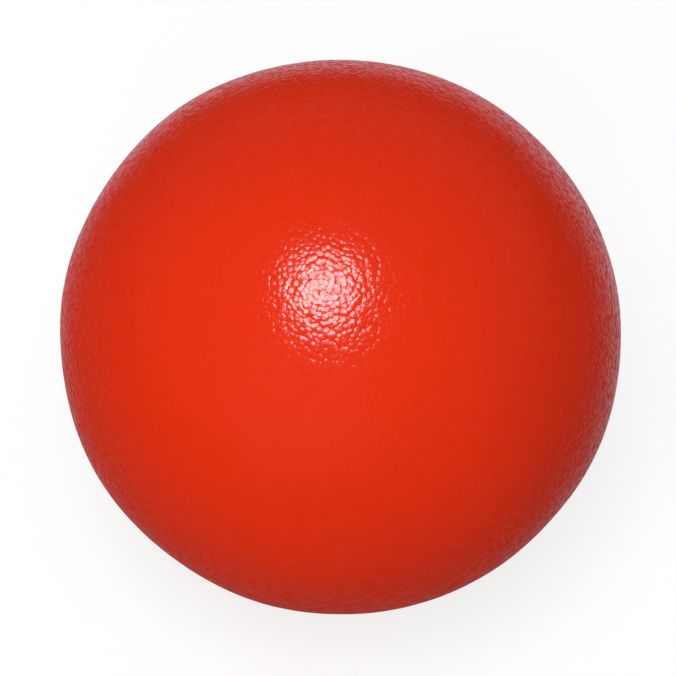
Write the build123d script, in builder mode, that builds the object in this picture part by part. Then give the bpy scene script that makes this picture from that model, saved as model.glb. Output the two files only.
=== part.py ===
"""Coated-foam dodgeball: a soft foam core in a seamless sprayed elastomer skin.

The ball is built up in layers, as it is made. A moulded ball of open-cell foam is
held on a thin spike, a tie coat is soaked into its outer cells, and the coloured
skin is sprayed over that while the ball turns on the spike. Pulling the spike out
leaves one pin-hole, through which the foam breathes when the ball is squeezed.

Millimetres, +Z up. The origin is the centre of the ball and the spike comes from -Z.
"""

import os
from math import sqrt

from build123d import *

# Driving dimensions
BALL_DIAMETER = 178.0
SKIN_THICKNESS = 0.8
TIE_COAT_THICKNESS = 0.4
BOND_LINE = 0.1
SPIKE_DIAMETER = 2.0
SPIKE_DEPTH = 60.0
SPIKE_POINT_LENGTH = 5.0
HOLE_RIM_RADIUS = 0.3

# Radii of the layers, from the outside in: each layer starts a bond line under the one outside it
SKIN_RADIUS = BALL_DIAMETER / 2
SKIN_INNER_RADIUS = SKIN_RADIUS - SKIN_THICKNESS
TIE_COAT_RADIUS = SKIN_INNER_RADIUS - BOND_LINE
TIE_COAT_INNER_RADIUS = TIE_COAT_RADIUS - TIE_COAT_THICKNESS
CORE_RADIUS = TIE_COAT_INNER_RADIUS - BOND_LINE
SPIKE_RADIUS = SPIKE_DIAMETER / 2


def spike_entry(layer_radius):
    """Point of a half section where the spike's side meets the surface of a layer."""
    return (SPIKE_RADIUS, -sqrt(layer_radius**2 - SPIKE_RADIUS**2))


def sprayed_coat(outer_radius, inner_radius):
    """A closed round coat, open only at the spike's hole."""
    outer_rim = spike_entry(outer_radius)
    inner_rim = spike_entry(inner_radius)
    with BuildPart() as coat:
        with BuildSketch(Plane.XZ):
            with BuildLine():
                ThreePointArc((0, outer_radius), (outer_radius, 0), outer_rim)
                Line(outer_rim, inner_rim)
                ThreePointArc(inner_rim, (inner_radius, 0), (0, inner_radius))
                Line((0, inner_radius), (0, outer_radius))
            make_face()
        revolve(axis=Axis.Z)
    return coat


# Foam core: soft open-cell foam, with the blind channel that the spike made in it
channel_mouth = spike_entry(CORE_RADIUS)
channel_end = (0, channel_mouth[1] + SPIKE_DEPTH)
channel_shoulder = (SPIKE_RADIUS, channel_end[1] - SPIKE_POINT_LENGTH)
with BuildPart() as foam_core:
    with BuildSketch(Plane.XZ):
        with BuildLine():
            ThreePointArc((0, CORE_RADIUS), (CORE_RADIUS, 0), channel_mouth)
            Polyline(channel_mouth, channel_shoulder, channel_end, (0, CORE_RADIUS))
        make_face()
    revolve(axis=Axis.Z)

# Tie coat: the first coat of elastomer, soaked into the foam's outer cells
tie_coat = sprayed_coat(TIE_COAT_RADIUS, TIE_COAT_INNER_RADIUS)

# Outer skin: the coloured elastomer, with a rounded rim where it met the spike
outer_skin = sprayed_coat(SKIN_RADIUS, SKIN_INNER_RADIUS)
with outer_skin:
    hole_wall = outer_skin.faces().filter_by(GeomType.CYLINDER)[0]
    fillet(hole_wall.edges().sort_by(Axis.Z)[0], HOLE_RIM_RADIUS)

foam_core.part.label = "foam_core"
tie_coat.part.label = "tie_coat"
outer_skin.part.label = "outer_skin"

os.makedirs("parts", exist_ok=True)
export_step(foam_core.part, "parts/foam_core.step")
export_step(tie_coat.part, "parts/tie_coat.step")
export_step(outer_skin.part, "parts/outer_skin.step")
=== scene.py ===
import math

import bmesh
import bpy
from mathutils import Matrix, Vector, noise


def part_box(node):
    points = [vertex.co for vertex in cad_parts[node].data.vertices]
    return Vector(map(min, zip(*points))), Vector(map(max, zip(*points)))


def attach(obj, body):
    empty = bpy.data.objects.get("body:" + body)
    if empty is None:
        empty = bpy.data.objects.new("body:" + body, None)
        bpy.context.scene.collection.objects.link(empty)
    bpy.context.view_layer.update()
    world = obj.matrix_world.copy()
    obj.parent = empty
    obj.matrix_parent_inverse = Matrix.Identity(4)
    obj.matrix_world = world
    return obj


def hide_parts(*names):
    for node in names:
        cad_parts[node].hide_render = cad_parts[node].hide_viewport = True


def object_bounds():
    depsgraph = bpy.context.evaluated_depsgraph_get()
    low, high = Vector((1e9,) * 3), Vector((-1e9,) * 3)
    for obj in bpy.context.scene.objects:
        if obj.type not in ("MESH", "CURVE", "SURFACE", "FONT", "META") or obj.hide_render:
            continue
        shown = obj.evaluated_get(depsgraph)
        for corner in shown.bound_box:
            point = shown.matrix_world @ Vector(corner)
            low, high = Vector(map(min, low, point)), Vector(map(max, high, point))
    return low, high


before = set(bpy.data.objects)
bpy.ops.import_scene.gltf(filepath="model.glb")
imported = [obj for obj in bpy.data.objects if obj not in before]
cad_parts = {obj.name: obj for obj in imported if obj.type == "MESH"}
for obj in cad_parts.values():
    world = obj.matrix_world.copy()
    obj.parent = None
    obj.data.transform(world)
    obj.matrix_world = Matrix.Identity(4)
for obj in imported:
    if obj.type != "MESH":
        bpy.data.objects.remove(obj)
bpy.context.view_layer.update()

# Foam core
# A ball of soft open-cell polyurethane foam, moulded and ground nearly round, with a slightly
# furry cut surface. The holding spike has left a narrow blind channel up from the bottom.
MM = 0.001
LONG_AXIS = Vector((0.962, -0.236, -0.136)).normalized()
OUT_OF_ROUND = 0.0123
LUMP = 40.0 * MM
LUMP_HEIGHT = 0.6 * MM
SPIKE_RADIUS = 1.0 * MM
SPIKE_DEPTH = 60.0 * MM
SPIKE_POINT_LENGTH = 5.0 * MM
HOLE_SEGMENTS = 24
# How far below a wall's radius its own points can lie
WALL_REACH = 0.35 * MM
FOAM_FINENESS = 64
FOAM_HOLE_PATCH = 2.5 * MM
FOAM_GRAIN = 2.4 * MM
FOAM_GRAIN_HEIGHT = 0.06 * MM
FOAM_CELL = 1.1 * MM
FOAM_PIT_DEPTH = 0.3 * MM
FOAM_PIT_PAINTED_SHADE = "#C9AE78"
FOAM_COLOUR = "#F0E2BC"


def node_radius(node):
    """Radius of a round CAD node, from its box."""
    low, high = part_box(node)
    return (high.x - low.x) / 2


def linear(hex_colour):
    """Linear colour of an sRGB hex value, with full alpha."""
    channels = [int(hex_colour[i:i + 2], 16) / 255 for i in (1, 3, 5)]
    return tuple(c / 12.92 if c <= 0.04045 else ((c + 0.055) / 1.055) ** 2.4 for c in channels) + (1.0,)


def new_material(name):
    """A material, with its node tree and its shader."""
    material = bpy.data.materials.new(name)
    material.use_nodes = True
    return material, material.node_tree, material.node_tree.nodes["Principled BSDF"]


def add_node(tree, kind, inputs=None, **settings):
    """Adds a node with its settings. Each input is a value or another node's output."""
    node = tree.nodes.new(kind)
    for name, value in settings.items():
        setattr(node, name, value)
    for socket, value in (inputs or {}).items():
        if isinstance(value, bpy.types.NodeSocket):
            tree.links.new(value, node.inputs[socket])
        else:
            node.inputs[socket].default_value = value
    return node


def new_object(name, data):
    """An object with this data, in the scene."""
    made = bpy.data.objects.new(name, data)
    bpy.context.scene.collection.objects.link(made)
    return made


def edges_of(points):
    """The edges at these points, each once and in a settled order."""
    return list(dict.fromkeys(e for v in points for e in v.link_edges))


def round_wall(mesh, radius, fineness):
    """Adds a closed round wall: an icosahedron with each of its edges divided this finely."""
    first = len(mesh.verts)
    ball = bmesh.ops.create_icosphere(mesh, subdivisions=1, radius=radius)
    bmesh.ops.subdivide_edges(
        mesh, edges=edges_of(ball["verts"]), cuts=fineness - 1, use_grid_fill=True)
    for v in mesh.verts[first:]:
        v.co = v.co.normalized() * radius


def open_walls(mesh, hole_patch):
    """Cuts all the walls open at the bottom, as wide as the patch that the spike's hole is set in."""
    patch = [v for v in mesh.verts if v.co.z < 0 and math.hypot(v.co.x, v.co.y) < hole_patch]
    bmesh.ops.delete(mesh, geom=patch, context="VERTS")


def opening(mesh, radius):
    """The edges round the opening of the wall with this radius."""
    rims = [e for e in mesh.edges if e.is_boundary]
    return [e for e in rims if abs(e.verts[0].co.length - radius) < WALL_REACH / 2]


def roughen(mesh, radius, wave, height):
    """Lowers the points of an outer wall by a smooth noise, up to the given height."""
    for v in mesh.verts:
        if v.co.length > radius - WALL_REACH:
            v.co -= v.co.normalized() * height * (1 - noise.noise(v.co / wave)) / 2


def hole_ring(mesh, radius, height):
    """Adds a ring of the spike's hole and returns its edges."""
    ring = bmesh.ops.create_circle(
        mesh, segments=HOLE_SEGMENTS, radius=radius, matrix=Matrix.Translation((0, 0, height)))
    return edges_of(ring["verts"])


def join_rings(mesh, rings):
    """Bridges each ring of edges to the next."""
    for ring, following in zip(rings, rings[1:]):
        bmesh.ops.bridge_loops(mesh, edges=ring + following)


def finished_piece(name, mesh, material):
    """Gives a mesh the ball's slight lumps and long axis, and makes it a smooth object."""
    for v in mesh.verts:
        outward = v.co.normalized()
        v.co += outward * LUMP_HEIGHT * noise.noise(outward * ball_radius / LUMP)
    narrow = Matrix.Scale(1 - OUT_OF_ROUND, 4) @ Matrix.Scale(1 / (1 - OUT_OF_ROUND), 4, LONG_AXIS)
    bmesh.ops.transform(mesh, matrix=narrow, verts=mesh.verts)
    bmesh.ops.recalc_face_normals(mesh, faces=mesh.faces)
    for face in mesh.faces:
        face.smooth = True
    data = bpy.data.meshes.new(name)
    mesh.to_mesh(data)
    mesh.free()
    data.materials.append(material)
    return new_object(name, data)


ball_radius = node_radius("outer_skin")
foam_radius = node_radius("foam_core")
foam_mesh = bmesh.new()
round_wall(foam_mesh, foam_radius, FOAM_FINENESS)
open_walls(foam_mesh, FOAM_HOLE_PATCH)
foam_opening = opening(foam_mesh, foam_radius)
mouth = -math.sqrt(foam_radius**2 - SPIKE_RADIUS**2)
channel_top = mouth + SPIKE_DEPTH
channel = [
    hole_ring(foam_mesh, SPIKE_RADIUS, mouth),
    hole_ring(foam_mesh, SPIKE_RADIUS, channel_top - SPIKE_POINT_LENGTH),
]
join_rings(foam_mesh, [foam_opening] + channel)
channel_end = bmesh.ops.contextual_create(foam_mesh, geom=channel[-1])["faces"]
channel_point = bmesh.ops.poke(foam_mesh, faces=channel_end)["verts"]
bmesh.ops.translate(foam_mesh, verts=channel_point, vec=(0, 0, SPIKE_POINT_LENGTH))
roughen(foam_mesh, foam_radius, FOAM_GRAIN, FOAM_GRAIN_HEIGHT)

# Open-cell polyurethane foam: matt and pale cream, pitted with cells about a millimetre across.
# The pits are painted a darker tan, as painted shade in their hollows.
foam_material, tree, foam_shader = new_material("open_cell_polyurethane_foam")
foam_shader.inputs["Roughness"].default_value = 0.95
foam_shader.inputs["IOR"].default_value = 1.45
place = add_node(tree, "ShaderNodeTexCoord")
cells = add_node(
    tree, "ShaderNodeTexVoronoi", {"Vector": place.outputs["Object"], "Scale": 1 / FOAM_CELL},
    feature="SMOOTH_F1")
# Painted shade: the colour darkens towards each cell's pit, which is the low point of the bump below.
shades = add_node(tree, "ShaderNodeValToRGB", {"Fac": cells.outputs["Distance"]})
shades.color_ramp.elements[0].color = linear(FOAM_PIT_PAINTED_SHADE)
shades.color_ramp.elements[1].color = linear(FOAM_COLOUR)
shades.color_ramp.elements[1].position = 0.6
pits = add_node(
    tree, "ShaderNodeBump",
    {"Height": cells.outputs["Distance"], "Distance": FOAM_PIT_DEPTH, "Strength": 0.8})
tree.links.new(shades.outputs["Color"], foam_shader.inputs["Base Color"])
tree.links.new(pits.outputs["Normal"], foam_shader.inputs["Normal"])

foam_core = finished_piece("foam_ball", foam_mesh, foam_material)
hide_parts("foam_core")
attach(foam_core, "root")

# Tie coat
# The first thin coat of elastomer, soaked into the foam's outer cells so that the skin
# holds on. It stays dull, and the foam's grain shows through it.
TIE_COAT_THICKNESS = 0.4 * MM
TIE_COAT_RIM_RADIUS = 0.1 * MM
TIE_COAT_FINENESS = 64
COAT_INNER_FINENESS = 32
COAT_HOLE_PATCH = 3.5 * MM
TIE_COAT_GRAIN_HEIGHT = 0.03 * MM
TIE_COAT_GRAIN_DEPTH = 0.2 * MM
SOAKED_DARK = "#8E1F12"
SOAKED_LIGHT = "#C8452C"


def coat_mesh(radius, thickness, fineness, rim_radius):
    """A closed round coat with the spike's hole, as a mesh."""
    mesh = bmesh.new()
    inner_radius = radius - thickness
    round_wall(mesh, radius, fineness)
    round_wall(mesh, inner_radius, COAT_INNER_FINENESS)
    open_walls(mesh, COAT_HOLE_PATCH)
    join_rings(mesh, [
        opening(mesh, radius),
        hole_ring(mesh, SPIKE_RADIUS + rim_radius, -radius),
        hole_ring(mesh, SPIKE_RADIUS, -radius + rim_radius),
        hole_ring(mesh, SPIKE_RADIUS, -inner_radius),
        opening(mesh, inner_radius),
    ])
    return mesh


tie_radius = node_radius("tie_coat")
tie_mesh = coat_mesh(tie_radius, TIE_COAT_THICKNESS, TIE_COAT_FINENESS, TIE_COAT_RIM_RADIUS)
roughen(tie_mesh, tie_radius, FOAM_GRAIN, TIE_COAT_GRAIN_HEIGHT)

# Elastomer soaked into foam: dull dark red, mottled where the cells took up more of it.
tie_material, tree, tie_shader = new_material("soaked_elastomer_tie_coat")
tie_shader.inputs["Roughness"].default_value = 0.7
place = add_node(tree, "ShaderNodeTexCoord")
soak = add_node(
    tree, "ShaderNodeTexNoise",
    {"Vector": place.outputs["Object"], "Scale": 1 / FOAM_GRAIN, "Detail": 3.0})
shades = add_node(tree, "ShaderNodeValToRGB", {"Fac": soak.outputs["Fac"]})
shades.color_ramp.elements[0].color = linear(SOAKED_DARK)
shades.color_ramp.elements[0].position = 0.3
shades.color_ramp.elements[1].color = linear(SOAKED_LIGHT)
shades.color_ramp.elements[1].position = 0.7
grain = add_node(
    tree, "ShaderNodeBump",
    {"Height": soak.outputs["Fac"], "Distance": TIE_COAT_GRAIN_DEPTH, "Strength": 0.6})
tree.links.new(shades.outputs["Color"], tie_shader.inputs["Base Color"])
tree.links.new(grain.outputs["Normal"], tie_shader.inputs["Normal"])

tie_coat = finished_piece("soaked_tie_coat", tie_mesh, tie_material)
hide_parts("tie_coat")
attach(tie_coat, "root")

# Outer skin
# The coloured polyurethane elastomer that the hand feels, sprayed on in several wet coats
# while the ball turns. It sets glossy, without a seam, and keeps the spray's orange peel.
SKIN_THICKNESS = 0.8 * MM
HOLE_RIM_RADIUS = 0.3 * MM
SKIN_FINENESS = 93
SKIN_WAVE = 7.0 * MM
SKIN_WAVE_HEIGHT = 0.1 * MM
COARSE_PEEL = 3.6 * MM
COARSE_PEEL_HEIGHT = 0.05 * MM
PEEL_CELL = 1.6 * MM
PEEL_RUN = 2.6 * MM
PEEL_HEIGHT = 0.138 * MM
RUN_SHARE = 0.85
# Depths of the peel, as shares of its height
SWELLING_DEPTH = 0.47
HOLLOW_DEPTH = 0.92
SWELLING_COLOUR = "#E72B00"
HOLLOW_RED_WITH_PAINTED_SHEEN = "#E62F0D"
SWELLING_GLOSS = 0.54
HOLLOW_GLOSS = 0.17
GLOSS_RELIEF = 1.0
COLOUR_RELIEF = 0.15

skin_mesh = coat_mesh(ball_radius, SKIN_THICKNESS, SKIN_FINENESS, HOLE_RIM_RADIUS)
roughen(skin_mesh, ball_radius, SKIN_WAVE, SKIN_WAVE_HEIGHT)
roughen(skin_mesh, ball_radius, COARSE_PEEL, COARSE_PEEL_HEIGHT)

# Sprayed polyurethane elastomer: an even saturated red under a thin gloss, which the orange peel
# breaks into flecks. Hollows between the peel's swellings have less gloss. Their red is painted a touch
# lighter, a painted reflection that makes up for the gloss they lack, so that the ball stays even.
# The red itself shows only a little of the peel's relief.
skin_material, tree, skin_shader = new_material("sprayed_gloss_elastomer")
skin_shader.inputs["Roughness"].default_value = 0.5
skin_shader.inputs["Specular IOR Level"].default_value = 0.0
skin_shader.inputs["Coat Roughness"].default_value = 0.15
skin_shader.inputs["Coat IOR"].default_value = 1.5
place = add_node(tree, "ShaderNodeTexCoord")
peel = add_node(
    tree, "ShaderNodeTexVoronoi",
    {"Vector": place.outputs["Object"], "Scale": 1 / PEEL_CELL}, feature="F1")
domes = add_node(
    tree, "ShaderNodeMath", {0: peel.outputs["Distance"], 1: 2.0}, operation="POWER")
run = add_node(
    tree, "ShaderNodeTexNoise",
    {"Vector": place.outputs["Object"], "Scale": 1 / PEEL_RUN, "Detail": 1.0})
depth = add_node(
    tree, "ShaderNodeMath",
    {0: run.outputs["Fac"], 1: RUN_SHARE, 2: domes.outputs["Value"]}, operation="MULTIPLY_ADD")
# Painted reflection: the hollows' lighter red stands in for the sheen of their thinner gloss.
shades = add_node(tree, "ShaderNodeValToRGB", {"Fac": depth.outputs["Value"]})
shades.color_ramp.elements[0].color = linear(SWELLING_COLOUR)
shades.color_ramp.elements[0].position = SWELLING_DEPTH
shades.color_ramp.elements[1].color = linear(HOLLOW_RED_WITH_PAINTED_SHEEN)
shades.color_ramp.elements[1].position = HOLLOW_DEPTH
gloss = add_node(
    tree, "ShaderNodeMapRange",
    {"Value": depth.outputs["Value"], "From Min": SWELLING_DEPTH, "From Max": HOLLOW_DEPTH,
     "To Min": SWELLING_GLOSS, "To Max": HOLLOW_GLOSS})
tree.links.new(shades.outputs["Color"], skin_shader.inputs["Base Color"])
tree.links.new(gloss.outputs["Result"], skin_shader.inputs["Coat Weight"])
for socket, strength in (("Coat Normal", GLOSS_RELIEF), ("Normal", COLOUR_RELIEF)):
    relief = add_node(
        tree, "ShaderNodeBump",
        {"Height": depth.outputs["Value"], "Distance": PEEL_HEIGHT, "Strength": strength}, invert=True)
    tree.links.new(relief.outputs["Normal"], skin_shader.inputs[socket])

outer_skin = finished_piece("sprayed_skin", skin_mesh, skin_material)
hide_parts("outer_skin")
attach(outer_skin, "root")

# Floor
# A plain pale studio floor under the ball. The camera sees all of it lifted to white. The skin's
# gloss sees that white, a touch violet, only in a round patch behind the ball, so that the ball's
# lower edge reflects dim floor.
FLOOR_REACH = 25.0
FLOOR_GREY = "#8E8E8E"
FLOOR_LIFT = 0.77
SEEN_WHITE = "#FFFFFF"
REFLECTED_WHITE = "#F6EEFF"
PATCH_MIDDLE = (0.03, 0.19)
PATCH_INNER_RADIUS = 0.15
PATCH_OUTER_RADIUS = 0.27
PATCH_STRENGTH = 1.1

floor_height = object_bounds()[0].z
floor_mesh = bmesh.new()
bmesh.ops.create_grid(
    floor_mesh, x_segments=1, y_segments=1, size=FLOOR_REACH,
    matrix=Matrix.Translation((0, 0, floor_height)))
floor_data = bpy.data.meshes.new("floor")
floor_mesh.to_mesh(floor_data)
floor_mesh.free()

# Matt painted board: an even grey that takes the ball's shadow.
floor_material, tree, floor_shader = new_material("pale_studio_floor")
floor_shader.inputs["Base Color"].default_value = linear(FLOOR_GREY)
floor_shader.inputs["Roughness"].default_value = 0.9
floor_shader.inputs["Specular IOR Level"].default_value = 0.0
ray = add_node(tree, "ShaderNodeLightPath")
place = add_node(tree, "ShaderNodeTexCoord")
away = add_node(
    tree, "ShaderNodeVectorMath",
    {0: place.outputs["Object"], 1: (*PATCH_MIDDLE, floor_height)}, operation="DISTANCE")
patch = add_node(
    tree, "ShaderNodeMapRange",
    {"Value": away.outputs["Value"], "From Min": PATCH_INNER_RADIUS, "From Max": PATCH_OUTER_RADIUS,
     "To Min": PATCH_STRENGTH, "To Max": 0.0})
reflected = add_node(
    tree, "ShaderNodeMath",
    {0: ray.outputs["Is Glossy Ray"], 1: ray.outputs["Is Transmission Ray"]}, operation="MAXIMUM")
reflected_patch = add_node(
    tree, "ShaderNodeMath",
    {0: reflected.outputs["Value"], 1: patch.outputs["Result"]}, operation="MULTIPLY")
seen = add_node(
    tree, "ShaderNodeMath",
    {0: ray.outputs["Is Camera Ray"], 1: reflected_patch.outputs["Value"]}, operation="MAXIMUM")
lift = add_node(
    tree, "ShaderNodeMath", {0: seen.outputs["Value"], 1: FLOOR_LIFT}, operation="MULTIPLY")
white = add_node(tree, "ShaderNodeValToRGB", {"Fac": ray.outputs["Is Camera Ray"]})
white.color_ramp.elements[0].color = linear(REFLECTED_WHITE)
white.color_ramp.elements[1].color = linear(SEEN_WHITE)
tree.links.new(white.outputs["Color"], floor_shader.inputs["Emission Color"])
tree.links.new(lift.outputs["Value"], floor_shader.inputs["Emission Strength"])
floor_data.materials.append(floor_material)
floor = new_object("floor", floor_data)

# Camera
# A long lens that looks down on the ball from well above the floor. The ball's place and size in
# the picture give the lens and its small shift.
PICTURE_SIDE = 676
BALL_RADIUS_PIXELS = 281.0
BALL_CENTRE_PIXELS = (339.8, 336.3)
CAMERA_DISTANCE = 1.6
CAMERA_ELEVATION = math.radians(60)
SENSOR = 36.0

toward_camera = Vector((0, -math.cos(CAMERA_ELEVATION), math.sin(CAMERA_ELEVATION)))
camera_data = bpy.data.cameras.new("camera")
camera_data.sensor_width = SENSOR
ball_half_angle = math.asin(ball_radius / CAMERA_DISTANCE)
focal_pixels = BALL_RADIUS_PIXELS / math.tan(ball_half_angle)
camera_data.lens = focal_pixels * SENSOR / PICTURE_SIDE
picture_middle = (PICTURE_SIDE - 1) / 2
camera_data.shift_x = (picture_middle - BALL_CENTRE_PIXELS[0]) / PICTURE_SIDE
camera_data.shift_y = (BALL_CENTRE_PIXELS[1] - picture_middle) / PICTURE_SIDE
camera = new_object("camera", camera_data)
camera.location = toward_camera * CAMERA_DISTANCE
camera.rotation_mode = "QUATERNION"
camera.rotation_quaternion = (-toward_camera).to_track_quat("-Z", "Y")
bpy.context.scene.camera = camera

# Lights
# A key lamp above the camera, and in its place a cool lamp that only the gloss sees, which makes
# the broken highlight. A wide fill from the lower left, which the gloss doesn't see, and an even
# white surround keep the edges of the ball open.
LAMP_DISTANCE = 3.0
KEY_PLACE = (17.5, 5.2)
KEY_SPREAD = 13.8
KEY_LEVEL = 0.45
GLINT_LEVEL = 3.0
GLINT_COLOUR = "#E0FAFF"
FILL_PLACE = (-30.0, 20.0)
FILL_SPREAD = 30.0
FILL_LEVEL = 0.39
WORLD_LEVEL = 0.38
BACKGROUND_LEVEL = 1.0

view_right = Vector((1, 0, 0))
view_up = view_right.cross(-toward_camera).normalized()


def add_lamp(name, place, spread, level):
    """A disc lamp, placed in degrees above and left of the camera. It spreads so many degrees each
    way as the ball sees it, and at level 1 it lights a facing white to 1."""
    above, left = (math.tan(math.radians(angle)) for angle in place)
    toward = (toward_camera + view_up * above - view_right * left).normalized()
    data = bpy.data.lights.new(name, "AREA")
    data.shape = "DISK"
    data.size = 2 * LAMP_DISTANCE * math.tan(math.radians(spread))
    data.energy = level * math.pi**2 * LAMP_DISTANCE**2
    lamp = new_object(name, data)
    lamp.location = toward * LAMP_DISTANCE
    lamp.rotation_mode = "QUATERNION"
    lamp.rotation_quaternion = (-toward).to_track_quat("-Z", "Y")
    lamp.visible_camera = False
    return lamp


add_lamp("key", KEY_PLACE, KEY_SPREAD, KEY_LEVEL)
glint = add_lamp("glint", KEY_PLACE, KEY_SPREAD, GLINT_LEVEL)
glint.data.color = linear(GLINT_COLOUR)[:3]
glint.visible_diffuse = False
fill = add_lamp("fill", FILL_PLACE, FILL_SPREAD, FILL_LEVEL)
fill.visible_glossy = False

world = bpy.data.worlds.new("studio")
world.use_nodes = True
tree = world.node_tree
surround = tree.nodes["Background"]
surround.inputs["Color"].default_value = linear(SEEN_WHITE)
ray = add_node(tree, "ShaderNodeLightPath")
strength = add_node(
    tree, "ShaderNodeMapRange",
    {"Value": ray.outputs["Is Camera Ray"], "To Min": WORLD_LEVEL, "To Max": BACKGROUND_LEVEL})
tree.links.new(strength.outputs["Result"], surround.inputs["Strength"])
bpy.context.scene.world = world

bpy.context.scene.view_settings.view_transform = "Standard"
